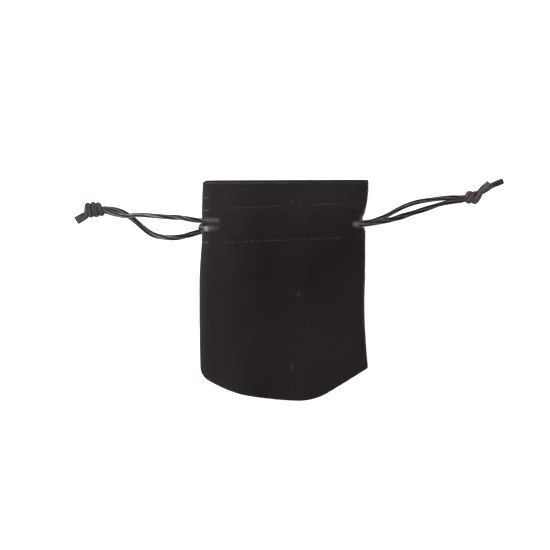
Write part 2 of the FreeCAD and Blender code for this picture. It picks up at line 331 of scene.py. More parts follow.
def read_outline():
    """The side and bottom edge, from the mouth's left corner round the toe to its right corner."""
    tree = panel_tree()
    near_seam = SEAM_Z - 0.02
    side_span = {-1: (48.4, -38.4), 1: (49.6, -35.9)}
    sides = {}
    for side, (top, bottom) in side_span.items():
        levels = np.arange(top, bottom, -0.5)
        hits = edge_hits(tree, [(side * 60.0, y, near_seam) for y in levels], (-side, 0, 0))
        found = np.array([(hit[0], y) for y, hit in zip(levels, hits) if hit and hit[0] * side > 35.0])
        sides[side] = np.column_stack([np.interp(-levels, -found[:, 1], found[:, 0]), levels])
    columns = np.arange(-36.4, 38.1, 0.5)
    hits = edge_hits(tree, [(x, -80.0, near_seam) for x in columns], (0, 1, 0))
    toe = np.array([hit for hit in hits if hit])
    left_corner = np.array([(-36.2, 50.4), (-36.65, 50.33), (-37.0, 50.1), (-37.22, 49.7), (-37.3, 49.1)])
    right_corner = np.array([(38.55, 50.0), (38.35, 50.35), (38.05, 50.6), (37.6, 50.7)])
    outline = np.vstack([left_corner, sides[-1], toe, sides[1][::-1], right_corner])
    keep = [0]
    for index in range(1, len(outline)):
        if np.hypot(*(outline[index] - outline[keep[-1]])) > 0.3:
            keep.append(index)
    return pull_in_right_slit(stand_out(outline[keep]))


# How far the pile stands out past the sewn edge, by level on each side and by place along the toe
LEFT_PILE = [(-42, 0.6), (-23, 0.45), (-5, 0.6), (5, 0.85), (14, 0.75), (23, 0.55), (36, 0.7), (43, 0.6),
             (49, 0.45)]
RIGHT_PILE = [(-42, 0.5), (-32, 0.3), (-14, 0.3), (-4, 0.5), (5, 0.95), (14, 1.0), (23, 0.75), (36, 0.5),
              (49, 0.15)]
TOE_PILE = [(-36, 1.0), (-26, 0.85), (-17, 0.55), (-7, 0.2), (2, 0.25), (11, 0.4), (20, 0.55), (30, 0.45),
            (38, 0.2)]


def stand_out(points):
    outward = outline_normals(points)
    sideways = np.where(outward[:, 0] < 0, np.interp(points[:, 1], *zip(*LEFT_PILE)),
                        np.interp(points[:, 1], *zip(*RIGHT_PILE)))
    down = np.where(outward[:, 1] < 0, np.interp(points[:, 0], *zip(*TOE_PILE)), 0.0)
    return points + outward * np.column_stack([sideways, down])


def pull_in_right_slit(points):
    """The right edge stands back between the two cords that pass it."""
    share = between(points[:, 1], 28.0, 29.3, 33.0, 34.4) * (points[:, 0] > 30)
    result = points.copy()
    result[:, 0] = points[:, 0] * (1 - share) + np.minimum(points[:, 0], PULLED_IN_X) * share
    return result


def outline_normals(outline):
    along = np.gradient(outline, axis=0)
    outward = np.column_stack([along[:, 1], -along[:, 0]])
    for _ in range(2):
        outward[1:-1] = (outward[:-2] + 2 * outward[1:-1] + outward[2:]) / 4
    return outward / np.linalg.norm(outward, axis=1)[:, None]


OUTLINE = read_outline()
OUTWARD = outline_normals(OUTLINE)
TOE = int(np.argmin(np.abs(OUTLINE[:, 0]) + 100 * (OUTLINE[:, 1] > 0)))


def half_outline(half):
    """One half of the outline, from the mouth down to the toe, with its outward directions."""
    if half == "left":
        return OUTLINE[:TOE + 1], OUTWARD[:TOE + 1]
    return OUTLINE[TOE:][::-1], OUTWARD[TOE:][::-1]


def to_outline(x, y):
    """How far inside the outline each point lies, and the way out from it."""
    start, end = OUTLINE[:-1], OUTLINE[1:]
    run = end - start
    length = (run ** 2).sum(1)
    points = np.column_stack([np.ravel(x), np.ravel(y)])
    depth = np.zeros(len(points))
    way = np.zeros((len(points), 2))
    for first in range(0, len(points), 4000):
        block = points[first:first + 4000]
        share = np.clip(((block[:, None] - start) * run).sum(2) / length, 0, 1)
        gap = np.linalg.norm(start + share[..., None] * run - block[:, None], axis=2)
        best = gap.argmin(1)
        rows = np.arange(len(block))
        depth[first:first + 4000] = gap[rows, best]
        part = share[rows, best][:, None]
        mixed = OUTWARD[best] * (1 - part) + OUTWARD[best + 1] * part
        way[first:first + 4000] = mixed / np.linalg.norm(mixed, axis=1)[:, None]
    return depth.reshape(np.shape(x)), way.reshape(np.shape(x) + (2,))


# ---- the pouch's surfaces

FRONT_CORDS = [((-38.0, 32.1), (36.4, 32.9)), ((-38.6, 28.2), (38.0, 30.0))]


def cord_level(cord, x):
    (x0, y0), (x1, y1) = cord
    return y0 + (y1 - y0) * (x - x0) / (x1 - x0)


def band(across):
    """1 over the tunnel between the two lines of stitches, falling to 0 at each."""
    return between(across, LOWER_LINE_Y + 0.3, LOWER_LINE_Y + 3.4, UPPER_LINE_Y - 3.2, UPPER_LINE_Y - 0.3)


def rounded_box(x, y, low, high, radius):
    """Signed distance to a box with round corners, negative inside."""
    middle = (np.array(low) + np.array(high)) / 2
    half = (np.array(high) - np.array(low)) / 2
    dx = np.abs(x - middle[0]) - half[0] + radius
    dy = np.abs(y - middle[1]) - half[1] + radius
    outside = np.hypot(np.maximum(dx, 0), np.maximum(dy, 0))
    return outside + np.minimum(np.maximum(dx, dy), 0) - radius


# The slits by the side seams. The cloth is not cut there: it dips, and the cords pass through it
SLITS = {
    "front": [((-60.0, 26.7), (-36.0, 33.4), 1.9), ((35.3, 28.5), (60.0, 32.3), 1.6)],
    "back": [((-60.0, 25.9), (-31.5, 31.4), 2.3), ((32.5, 26.5), (60.0, 32.9), 2.6)],
}
# Where the front cloth is stretched down round the cords, before the slits
STRETCHED = [((-60.0, 26.3), (-29.0, 34.0), 3.2), ((31.2, 28.0), (60.0, 32.5), 2.2)]
RIDGES = {-1: [((-38.0, 31.8), (36.4, 32.9)), ((-38.6, 28.2), (38.0, 30.0))],
          1: [((-38.6, 28.4), (38.0, 30.3))]}
RIDGE_WIDTH = {-1: 1.35, 1: 1.7}


def slit_share(face, x, y):
    """1 in the slits by the side seams, where the cords lie open, and 0 on the cloth round them."""
    share = np.zeros(np.shape(x))
    for low, high, radius in SLITS[face]:
        share = np.maximum(share, 1 - smooth(-0.5, 0.35, rounded_box(x, y, low, high, radius)))
    return share


def stretched_share(x, y):
    share = np.zeros(np.shape(x))
    for low, high, radius in STRETCHED:
        share = np.maximum(share, 1 - smooth(-1.1, 0.5, rounded_box(x, y, low, high, radius)))
    return share


def ridge_share(x, y, wider=1.0):
    """1 on the crests of the cloth over the cords by the slits."""
    share = np.zeros(np.shape(x))
    for side, cords in RIDGES.items():
        here = (x * side > 0)
        for cord in cords:
            share = np.maximum(share, here * hump(y, cord_level(cord, x), wider * RIDGE_WIDTH[side]))
    return share


def ripples(x, y, depth, across):
    """The soft unevenness of sewn cloth: slow swells, puckers by the seams and folds at the casing."""
    swell = 0.22 * np.sin(x / 9.3 + 1.1) * np.sin(y / 13.0 + 0.4) + 0.12 * np.sin(x / 5.1 - y / 8.3 + 2.0)
    swell += 0.04 * np.sin(x / 2.7 + y / 3.9)
    pucker = 0.10 * np.sin(y / 0.83 + 0.7 * np.sin(y / 4.0)) * hump(depth, 3.0, 2.4)
    pucker += 0.08 * np.sin(x / 0.9 + 0.8 * np.sin(x / 5.0)) * hump(depth, 3.0, 2.4) * (y < -30)
    casing = hump(across, LOWER_LINE_Y, 9.0) + hump(across, UPPER_LINE_Y, 7.0)
    folds = 0.025 * np.sin(x / 0.62 + 1.4 * np.sin(x / 3.7) + 0.02 * y) * np.clip(casing, 0, 1)
    folds = folds * smooth(2.0, 9.0, np.abs(x)) * (1 - smooth(27.0, 34.0, np.abs(x)))
    return swell + pucker + folds


def stitched_down(x, across, depth=0.5):
    """The groove that the two lines of stitches pull into the cloth."""
    tight = 0.8 + 0.2 * np.cos(2 * math.pi * (x + 33.45) / 3.0)
    return depth * tight * (hump(across, LOWER_LINE_Y, 0.75) + hump(across, UPPER_LINE_Y, 0.75))


def front_height(x, y, depth, plain=False):
    """The front face. Plain leaves out the tunnel, as the hem inside lies flat under it."""
    across = y - TILT * x
    base = FRONT_TOP - 2.9 * smooth(-12.0, -50.0, y) - 0.45 * smooth(40.0, 50.0, across)
    radius = 9.0 - 6.6 * hump(y, 32.6, 2.4) * (x > 25) * smooth(25.0, 30.0, x)
    top = base + (0.0 if plain else ripples(x, y, depth, across) - stitched_down(x, across))
    open_share = slit_share("front", x, y)
    if not plain:
        ridge = np.minimum(sum(hump(y, cord_level(cord, x), 1.9) for cord in FRONT_CORDS), 1.0)
        top = top + band(across) * (TUNNEL_RISE + RIDGE_RISE * ridge)
        share = stretched_share(x, y)
        pulled = STRETCHED_Z + CREST_RISE * ridge_share(x, y)
        top = top + (pulled - top) * share
        radius = radius + (3.4 - radius) * share * ridge_share(x, y, 1.6)
    radius = radius + (3.2 - radius) * open_share
    top = top + (FRONT_SLIT_Z - top) * open_share
    return SEAM_Z + CREASE + (top - SEAM_Z - CREASE) * lens(depth, radius)


def back_height(x, y, depth, plain=False):
    """The back face, flat on the table but for its rounded edge and the slits."""
    across = y - TILT * x
    radius = 6.0 + 0.8 * np.sin(x / 11.0 + y / 17.0)
    low = 0.03 + (0.0 if plain else 0.5 * np.clip(ripples(x, y, depth, across), 0, 1)
                  + stitched_down(x, across, 0.3))
    open_share = slit_share("back", x, y)
    radius = radius + (2.4 - radius) * open_share
    low = low + (BACK_SLIT_Z - low) * open_share
    return SEAM_Z - CREASE - (SEAM_Z - CREASE - low) * lens(depth, radius)


HEIGHTS = {"front": front_height, "back": back_height}
UP = {"front": 1, "back": -1}


def surface(face, x, y):
    x, y = np.asarray(x, float), np.asarray(y, float)
    depth, _ = to_outline(x, y)
    return HEIGHTS[face](x, y, depth)


# ---- building the cloth

def column_shares():
    """Where the columns lie from the middle, 0, to the edge, 1: close together by the slits and edge."""
    reach = 37.4
    inner = np.arange(0, 27.0, 0.5)
    outer = np.arange(27.0, 34.6, 0.25)
    turned = reach - 2.8 * (1 - np.cos(np.linspace(math.pi / 2, 0, 13)))
    return np.concatenate([inner, outer, turned]) / reach


SHARES = column_shares()


def line_y(x, across=LOWER_LINE_Y):
    return across + TILT * x


def mouth_y(x):
    return MOUTH_Y + 0.3 * (x + 35.2) / 72.8


def edge_x(half, y):
    """The outline's x at one level above the toe."""
    points, _ = half_outline(half)
    side = points[points[:, 1] > -34]
    return np.interp(-y, -side[:, 1], side[:, 0])


def edge_on_line(half):
    y = LOWER_LINE_Y
    for _ in range(6):
        y = line_y(edge_x(half, y))
    return y


def fold_radius(depth):
    return 0.06 + (FOLD_RADIUS - 0.06) * lens(depth, 3.2)


def upright(y, z):
    """Steps with no sideways part."""
    return np.stack([np.zeros_like(y), y, z], axis=-1)


def offset_inside(x, y, z, face, depth, way, thickness):
    """The same points, moved in through the cloth."""
    share = np.clip(depth / INNER_EDGE, 0, 1)
    flat = (1 - share)[..., None] * way
    return np.stack([x - thickness * flat[..., 0], y - thickness * flat[..., 1],
                     z - UP[face] * thickness * lens(depth, INNER_EDGE)], axis=-1)


def casing_rows(half):
    """Row shares from the lower line of stitches, 0, to the start of the fold at the mouth, 1."""
    low = edge_on_line(half)
    levels = np.concatenate([
        np.arange(low, 26.0, 0.4), np.arange(26.0, 35.0, 0.27), np.arange(35.0, 49.8, 0.45), [MOUTH_Y],
    ])
    return (levels - low) / (MOUTH_Y - low)


def casing_grid(face, half):
    """Outer and inner surface of the casing and header of one half, up to the top of the fold."""
    rows = casing_rows(half)
    low = edge_on_line(half)
    edges = edge_x(half, low + rows * (MOUTH_Y - low))
    x = edges[:, None] * SHARES[None, :]
    y = line_y(x) + rows[:, None] * (mouth_y(x) - line_y(x))
    depth, way = to_outline(x, y)
    depth[:, -1] = 0
    radius = fold_radius(depth[-1])
    y[-1] = mouth_y(x[-1]) - radius
    z = HEIGHTS[face](x, y, depth)
    outer = np.stack([x, y, z], axis=-1)
    inner = offset_inside(x, y, z, face, depth, way, CLOTH)
    lip_outer, lip_inner = [], []
    thin = np.minimum(CLOTH, 0.88 * radius)
    up = UP[face]
    inner[-1] = outer[-1] - upright(np.zeros_like(thin), up * thin)
    for turn in np.radians([18, 36, 54, 72, 90]):
        out = outer[-1] + upright(radius * math.sin(turn), -up * radius * (1 - math.cos(turn)))
        into = upright(thin * math.sin(turn), up * thin * math.cos(turn))
        lip_outer.append(out)
        lip_inner.append(out - into)
    outer = np.concatenate([outer, np.array(lip_outer)])
    inner = np.concatenate([inner, np.array(lip_inner)])
    return outer, inner, way


def grid_faces(rows, columns):
    faces = []
    for row in range(rows - 1):
        for column in range(columns - 1):
            start = row * columns + column
            faces.append((start, start + 1, start + columns + 1, start + columns))
    return faces


def grid_border(rows, columns):
    bottom = list(range(columns - 1))
    right = [row * columns + columns - 1 for row in range(rows - 1)]
    top = [(rows - 1) * columns + column for column in range(columns - 1, 0, -1)]
    left = [row * columns for row in range(rows - 1, 0, -1)]
    return bottom + right + top + left


def mark(made, name, values):
    made.data.attributes.new(name, "FLOAT", "POINT").data.foreach_set("value", np.asarray(values, np.float32))


# Lint and brush marks on the front: middle, half width and half height
LINT = [((-17.7, 46.0), 0.55, 0.3), ((3.6, 40.6), 0.35, 1.0), ((6.6, -1.8), 1.5, 0.3),
        ((3.6, -35.6), 0.5, 1.2)]


def paint_light_and_lint(outer, face):
    """Painted light on the pile, and lint: painted sheen on the rims, painted highlights on the mouth's fold,
    by the sewn lines and on the crests over the cords by the slits, painted light from the left, a little
    paler over the header, and lint specks.
    """
    x, y, z = outer.T
    depth, way = to_outline(x, y)
    patchy = 0.6 + 0.4 * np.sin(x / 1.7 + 2.0 * np.sin(y / 3.1)) * np.sin(y / 2.3 + 1.0)
    # Painted sheen on the rims, and on the left-facing edge more painted light from the left
    rim = 0.035 * (1 - smooth(0.0, 1.3, depth)) * patchy
    left = np.clip(-way[:, 0], 0, 1) * (x < 0)
    rim = rim + 0.03 * left * (1 - smooth(0.5, 5.0, depth))
    # Painted light from the left: paler towards the left side. Also a little paler over the header
    pile_patches_and_left_light = 0.028 * smooth(-8.0, -30.0, x) + 0.011 * smooth(34.0, 42.0, y)
    # Painted highlight on the mouth's fold, just under its top edge, stronger towards the left
    fold = 0.19 * hump(mouth_y(x) - y, 1.3, 0.4) * patchy * (1 - 0.6 * smooth(0.0, 10.0, x))
    across = y - TILT * x
    # Painted highlights on the ridges beside the two lines of stitches
    sewn = 0.03 * (hump(across, LOWER_LINE_Y + 0.3, 0.6) + hump(across, UPPER_LINE_Y + 0.3, 0.6)) * patchy
    painted_light_and_lint = np.maximum(rim, fold) + pile_patches_and_left_light + sewn
    if face == "front":
        # Painted highlights on the cloth's crests over the cords by the slits, from light falling from the
        # left
        crest = ridge_share(x, y) ** np.where(x < 0, 1.5, 2.6) * stretched_share(x, y) * (z > 8.4)
        upper = 0.25 * smooth(-28.0, -31.0, x)
        # A painted highlight at the left edge, where the cloth rounds over the cords
        lower = 0.1 * smooth(-28.0, -31.0, x) + 0.35 * smooth(-31.0, -35.2, x) + 0.6 * hump(x, -36.4, 1.0)
        left_glow = np.where(y > 30.1, upper, lower)
        painted_light_and_lint = np.maximum(painted_light_and_lint, crest * np.where(x < 0, left_glow, 0.4) + 0.05 * stretched_share(x, y))
        for (middle_x, middle_y), wide, high in LINT:
            painted_light_and_lint = np.maximum(painted_light_and_lint, pile_patches_and_left_light + 0.11 * hump(x, middle_x, wide) * hump(y, middle_y, high))
    return painted_light_and_lint


def closed_cloth(name, outer, inner, faces, border, edge_ways, material):
    """Joins two surfaces along their border. Edge_ways gives the way out at each point of the sewn edge."""
    face = name.split("_")[0]
    curls = [curled_edge(outer[index], edge_ways[index], face) if index in edge_ways else None
             for index in border]
    points = [outer]
    rings = [list(border)]
    steps = 4
    for step in range(1, steps + 1):
        share = step / (steps + 1)
        ring = [curls[place][step - 1] if curls[place] is not None
                else outer[index] * (1 - share) + inner[index] * share
                for place, index in enumerate(border)]
        start = sum(len(part) for part in points)
        points.append(np.array(ring))
        rings.append(list(range(start, start + len(border))))
    start = sum(len(part) for part in points)
    points.append(inner)
    rings.append([start + index for index in border])
    all_faces = [tuple(face) for face in faces]
    all_faces += [tuple(start + index for index in reversed(face)) for face in faces]
    for first, second in zip(rings, rings[1:]):
        for place in range(len(border)):
            after = (place + 1) % len(border)
            all_faces.append((first[after], first[place], second[place], second[after]))
    made = new_object(name, np.concatenate(points), all_faces, material)
    # Painted light and lint, from the outer face, carried round the edge and onto the inner face
    painted_light_and_lint = paint_light_and_lint(outer, face)
    mark(made, "painted_light_and_lint", np.concatenate([painted_light_and_lint] + steps * [painted_light_and_lint[list(border)]] + [painted_light_and_lint]))
    tidy_normals(made)
    return made


def tidy_normals(made):
    work = bmesh.new()
    work.from_mesh(made.data)
    bmesh.ops.recalc_face_normals(work, faces=work.faces)
    work.to_mesh(made.data)
    work.free()
    made.data.set_sharp_from_angle(angle=1.0)


def curled_edge(point, way, face):
    """Points that turn the cloth's edge in to the seam, from its widest to the seam itself."""
    found = []
    for turn in np.radians([68, 45, 22, 0]):
        inward = CREASE * (1 - math.sin(turn))
        rise = CREASE * (1 - math.cos(turn))
        found.append(np.array([point[0] - way[0] * inward, point[1] - way[1] * inward,
                               SEAM_Z + UP[face] * rise]))
    return found


def last_column(way, rows):
    """The way out at the last point of each row, by the point's number."""
    columns = way.shape[1]
    return {row * columns + columns - 1: way[row, -1] for row in range(rows)}


def casing_cloth(face, half, material):
    outer, inner, way = casing_grid(face, half)
    rows, columns = outer.shape[:2]
    return closed_cloth(f"{face}_casing_{half}", outer.reshape(-1, 3), inner.reshape(-1, 3),
                        grid_faces(rows, columns), grid_border(rows, columns), last_column(way, len(way)),
                        material)


def body_cloth(face, half, material):
    """The panel below the casing, on rays from the middle of the lower line of stitches to the edge."""
    points, _ = half_outline(half)
    level = edge_on_line(half)
    below = points[:, 1] < level - 0.25
    start = np.array([[edge_x(half, level), level]])
    rim = np.vstack([start, points[below]])
    rim[-1, 0] = 0.0
    middle = np.array([0.0, LOWER_LINE_Y])
    shares = SHARES[1:]
    grid = middle + shares[None, :, None] * (rim - middle)[:, None, :]
    x, y = grid[..., 0], grid[..., 1]
    depth, way = to_outline(x, y)
    depth[:, -1] = 0
    z = HEIGHTS[face](x, y, depth)
    outer = np.stack([x, y, z], axis=-1).reshape(-1, 3)
    inner = offset_inside(x, y, z, face, depth, way, CLOTH).reshape(-1, 3)
    rows, columns = x.shape
    pole_z = float(HEIGHTS[face](np.array(0.0), np.array(LOWER_LINE_Y), np.array(38.0)))
    pole = np.array([[0.0, LOWER_LINE_Y, pole_z]])
    outer = np.vstack([outer, pole])
    inner = np.vstack([inner, pole - [[0, 0, UP[face] * CLOTH]]])
    pole_index = rows * columns
    faces = grid_faces(rows, columns)
    faces += [(pole_index, row * columns, (row + 1) * columns) for row in range(rows - 1)]
    border = [pole_index] + list(range(columns)) + [row * columns + columns - 1 for row in range(1, rows - 1)]
    border += [(rows - 1) * columns + column for column in range(columns - 1, -1, -1)]
    return closed_cloth(f"{face}_body_{half}", outer, inner, faces, border, last_column(way, rows), material)


def hem_cloth(face, half, material):
    """The panel's top turned in: the inner half of the fold, then down inside past the lower stitches."""
    x_top = edge_x(half, MOUTH_Y) * SHARES
    depth_top, _ = to_outline(x_top, mouth_y(x_top) - 0.4)
    depth_top[-1] = 0
    radius = fold_radius(depth_top)
    up = UP[face]
    y_start = mouth_y(x_top) - radius
    z_start = HEIGHTS[face](x_top, y_start, depth_top)
    outer, inner = [], []
    thin = np.minimum(HEM_CLOTH, 0.8 * radius)
    for turn in np.radians([90, 108, 126, 144, 162, 180]):
        point = np.stack([x_top, y_start + radius * math.sin(turn),
                          z_start - up * radius * (1 - math.cos(turn))], axis=-1)
        into = upright(thin * math.sin(turn), up * thin * math.cos(turn))
        outer.append(point)
        inner.append(point - into)
    levels = np.concatenate([np.arange(49.4, 35.0, -0.5), np.arange(35.0, 26.0, -0.35),
                             np.arange(26.0, HEM_END_Y, -0.5)])
    for level in levels:
        edge = float(edge_x(half, level))
        x = edge * SHARES
        y = np.minimum(line_y(x, level), mouth_y(x) - 0.9)
        depth, _ = to_outline(x, y)
        depth[-1] = 0
        radius_here = fold_radius(depth)
        z = HEIGHTS[face](x, y, depth, plain=True) - up * 2 * radius_here
        across = y - TILT * x
        if face == "back":
            over_slit = slit_share("back", x, y)
            z = z + (BACK_TUNNEL_RISE * band(across) * (1 - over_slit)) * lens(depth, 7.0)
        inset = 1.5 * smooth(49.6, 46.0, level)
        x = x * (edge - math.copysign(inset, edge)) / edge
        point = np.stack([x, y, z], axis=-1)
        thin_here = np.minimum(HEM_CLOTH, 0.8 * radius_here)
        outer.append(point)
        inner.append(point + upright(np.zeros_like(thin_here), up * thin_here))
    outer, inner = np.array(outer), np.array(inner)
    rows, columns = outer.shape[:2]
    return closed_cloth(f"{face}_hem_{half}", outer.reshape(-1, 3), inner.reshape(-1, 3),
                        grid_faces(rows, columns), grid_border(rows, columns), {}, material)


def gather(made):
    """Bakes the piece's placing into its mesh."""
    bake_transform(made)


# ---- stitches

def ring_faces(rows, sides):
    """Faces between the rings of a tube."""
    faces = []
    for near in range(0, (rows - 1) * sides, sides):
        for side in range(sides):
            after = (side + 1) % sides
            faces.append((near + side, near + after, near + sides + after, near + sides + side))
    return faces


def capsule_points(path, radius, sides=7):
    """A thin round thread along a short path, with closed ends."""
    path = np.array(path, float)
    along = np.gradient(path, axis=0)
    along /= np.linalg.norm(along, axis=1)[:, None]
    lean = np.array([0.0, 0.0, 1.0])
    points = []
    for place, way in zip(path, along):
        across = np.cross(way, lean)
        across /= np.linalg.norm(across)
        over = np.cross(across, way)
        for side in range(sides):
            turn = 2 * math.pi * side / sides
            points.append(place + radius * (math.cos(turn) * across + math.sin(turn) * over))
    faces = ring_faces(len(path), sides)
    points += [path[0] - along[0] * radius * 0.6, path[-1] + along[-1] * radius * 0.6]
    first, last = len(points) - 2, len(points) - 1
    end = (len(path) - 1) * sides
    for side in range(sides):
        after = (side + 1) % sides
        faces.append((first, after, side))
        faces.append((last, end + side, end + after))
    return points, faces


def thread_piece(name, paths, radius, material):
    points, faces = [], []
    for path in paths:
        new_points, new_faces = capsule_points(path, radius)
        start = len(points)
        points += new_points
        faces += [tuple(start + index for index in face) for face in new_faces]
    made = new_object(name, np.array(points), faces, material)
    tidy_normals(made)
    return made


def on_surface(face, x, y, lift):
    return np.column_stack([x, y, surface(face, x, y) + UP[face] * lift])


# Where the front stitches stand clear of the pile. Between these stretches they are sunk in it
PROUD = {
    UPPER_LINE_Y: [(-24.0, -3.0), (12.0, 24.0)],
    LOWER_LINE_Y: [(-27.0, 3.0), (9.0, 26.5)],
}
# How deep each line's stitches lie in the pile, in those stretches and between them
SUNK = {UPPER_LINE_Y: (0.03, 0.12), LOWER_LINE_Y: (0.09, 0.14)}


def stitch_paths(face, across, half):
    """Stitches of one line on one half. Their ends go down into the cloth."""
    side = HALVES[half]
    cos, sin = math.cos(math.atan(TILT)), math.sin(math.atan(TILT))
    middle = (UPPER_LINE_Y + LOWER_LINE_Y) / 2
    paths = []
    for index in range(23):
        along = -34.5 + STITCH_STEP * index
        reach = np.linspace(0, 2.9, 7)
        x = (along + reach) * cos - (across - middle) * sin
        y = middle + (along + reach) * sin + (across - middle) * cos
        if x.mean() * side <= 0:
            continue
        proud = any(low < x.mean() < high for low, high in PROUD[across])
        dip = np.array([-0.15, -0.03, 0.0, 0.0, 0.0, -0.03, -0.15])
        sunk = SUNK[across][0 if proud else 1]
        paths.append(on_surface(face, x, y, dip - sunk))
    return paths


def seam_paths(half, part):
    """The seam's hidden stitches, on the seam inside the edge."""
    points, ways = half_outline(half)
    inset = points - 2.2 * ways
    run = np.concatenate([[0], np.cumsum(np.hypot(*np.diff(inset, axis=0).T))])
    paths = []
    for start in np.arange(1.5, run[-1] - 3, STITCH_STEP):
        spots = np.linspace(start, start + 2.1, 4)
        x = np.interp(spots, run, inset[:, 0])
        y = np.interp(spots, run, inset[:, 1])
        level = y.mean()
        in_slit = 25.0 < level < 36.0
        in_part = level > LOWER_LINE_Y if part == "casing" else level <= LOWER_LINE_Y
        if in_slit or not in_part or level > 47.7:
            continue
        paths.append(np.column_stack([x, y, np.full(4, SEAM_Z)]))
    return paths


def tack_paths():
    """Three bar tacks by the left edge: short threads side by side."""
    paths = []
    for level in (42.4, 36.6, 21.8):
        left = float(edge_x("left", level)) + 0.85
        for step in range(7):
            x = left + 0.1 + 0.36 * step
            y = level + np.linspace(-0.42, 0.42, 5)
            lift = np.array([-0.1, 0.12, 0.18, 0.12, -0.1])
            paths.append(on_surface("front", np.full(5, x) + np.linspace(-0.12, 0.12, 5), y, lift))
    return paths


# ---- cords

def spline_points(name, route):
    """The line of the NURBS spline that has the route's points as its control points."""
    curve = bpy.data.curves.new(name, "CURVE")
    curve.dimensions = "3D"
    spline = curve.splines.new("NURBS")
    spline.points.add(len(route) - 1)
    for point, place in zip(spline.points, route):
        point.co = (place[0] * MM, place[1] * MM, place[2] * MM, 1)
    spline.order_u = 3
    spline.use_endpoint_u = True
    spline.resolution_u = 14
    holder = add_object(name, curve)
    bpy.context.view_layer.update()
    mesh = bpy.data.meshes.new_from_object(holder)
    line = np.array([vertex.co for vertex in mesh.vertices]) / MM
    bpy.data.objects.remove(holder)
    bpy.data.meshes.remove(mesh)
    return line


def evenly(line, step):
    """The line read off at even steps, so that the tube's rings are close together."""
    run = np.concatenate([[0], np.cumsum(np.linalg.norm(np.diff(line, axis=0), axis=1))])
    spots = np.linspace(0, run[-1], int(run[-1] / step) + 1)
    return np.column_stack([np.interp(spots, run, line[:, axis]) for axis in range(3)]), spots


def cord_frames(line):
    """A direction across the cord at each ring, turning no more than the cord does."""
    along = np.gradient(line, axis=0)
    along /= np.linalg.norm(along, axis=1)[:, None]
    across = np.zeros_like(line)
    side = np.cross(along[0], [0.0, 0.0, 1.0])
    for index, way in enumerate(along):
        side = side - way * np.dot(side, way)
        side = side / np.linalg.norm(side)
        across[index] = side
    return across, np.cross(along, across)


RING = 40
RIBS = 4


def cord_rings(line, spots, sizes, painted_highlight, satin_light, soft):
    """Rings of a ribbed, softly twisted cord, with each point's place on its rib, its painted highlight and
    its painted light.
    """
    across, over = cord_frames(line)
    turns = 2 * math.pi * np.arange(RING) / RING
    rings, ribs, painted_highlights, satin_lights = [], [], [], []
    for index in range(len(line)):
        spot = spots[index]
        twist = 2 * math.pi * spot / 52.0 + 0.5 * math.sin(spot / 9.0)
        rib = 0.5 + 0.5 * np.cos(RIBS * (turns - twist))
        wide = 1 + 0.045 * math.sin(spot / 5.3) + 0.025 * math.sin(spot / 1.9 + 1.0)
        size = sizes[index] * (1.0 + 0.10 * rib ** 0.6)
        rings.append(line[index] + (size * np.cos(turns) * wide)[:, None] * across[index]
                     + (size * np.sin(turns) * (2 - wide))[:, None] * over[index])
        ribs.append(rib + (0.55 - rib) * 0.65 * soft[index])
        satin_lights.append(np.full(RING, satin_light[index]))
        # The painted highlight is strongest on the cord's upper side, where the light falls
        upward = np.sin(turns) * over[index][2] + np.cos(turns) * across[index][2]
        painted_highlights.append(painted_highlight[index] * np.clip(upward, 0, 1))
    rings = np.array(rings)
    rings[..., 2] = np.maximum(rings[..., 2], TABLE_GAP)
    return rings, np.stack([ribs, painted_highlights, satin_lights], axis=-1)


def tube_mesh(rings, marks, spots, cut_start, cut_end):
    """Points, marks, faces and UVs of one tube. A cut end stands out a little in its middle."""
    count = len(rings)
    points = list(rings.reshape(-1, 3))
    point_marks = list(marks.reshape(-1, 3)) + [np.array([0.3, 0.0, 1.0])] * 2
    faces, uvs = ring_faces(count, RING), []
    for row in range(count - 1):
        low, high = spots[row] / 10, spots[row + 1] / 10
        for side in range(RING):
            left, right = side / RING, (side + 1) / RING
            uvs.append([(low, left), (low, right), (high, right), (high, left)])
    for end, inner, cut in ((0, 1, cut_start), (count - 1, count - 2, cut_end)):
        middle = rings[end].mean(0)
        outward = middle - rings[inner].mean(0)
        outward = outward / np.linalg.norm(outward)
        bulge = 0.12 if cut else 0.0
        points.append(middle + outward * bulge)
        tip = len(points) - 1
        for side in range(RING):
            after = (side + 1) % RING
            spot = spots[end] / 10
            faces.append((end * RING + side, end * RING + after, tip))
            uvs.append([(spot, side / RING), (spot, (side + 1) / RING), (spot + 0.05, (side + 0.5) / RING)])
    return points, point_marks, faces, uvs


def tube_piece(name, parts, material):
    """One object of one or more tubes, each given as rings, marks, spots and which of its ends are cut."""
    points, marks, faces, uvs = [], [], [], []
    for part in parts:
        new_points, new_marks, new_faces, new_uvs = tube_mesh(*part)
        start = len(points)
        points += new_points
        marks += new_marks
        faces += [tuple(start + index for index in face) for face in new_faces]
        uvs += new_uvs
    made = new_object(name, np.array(points), faces, material)
    layer = made.data.uv_layers.new(name="along")
    flat = [value for face in uvs for corner in face for value in corner]
    layer.data.foreach_set("uv", flat)
    for column, name in enumerate(("rib", "painted_highlight", "satin_light")):
        mark(made, name, np.array(marks)[:, column])
    tidy_normals(made)
    return made


# How far a turn's middle lies from the knot's axis, sideways and up, and how much thicker the cord is there
WRAP_WIDE, WRAP_HIGH, WRAP_SWELL = 1.8, 1.4, 0.27
# Where each cord's loop turns round the far edge, and at its cut ends, it is pressed wider
SIDES = {"left_cord": -1, "right_cord": 1}
BIGHT_SWELL = {"left_cord": -0.1, "right_cord": 0.6}
# How strong the painted highlight is on the top of each loop's turn
BIGHT_HIGHLIGHT = {"left_cord": 0.0, "right_cord": 0.6}
TAIL_SWELL = {"left_cord": -0.05, "right_cord": 0.25}
# How far before the turn's middle its swell and its painted highlight lie, and how wide each is
SWELL_BEFORE, SWELL_WIDTH = 3.7, 2.3
LIGHT_BEFORE, LIGHT_WIDTH = 5.7, 1.0
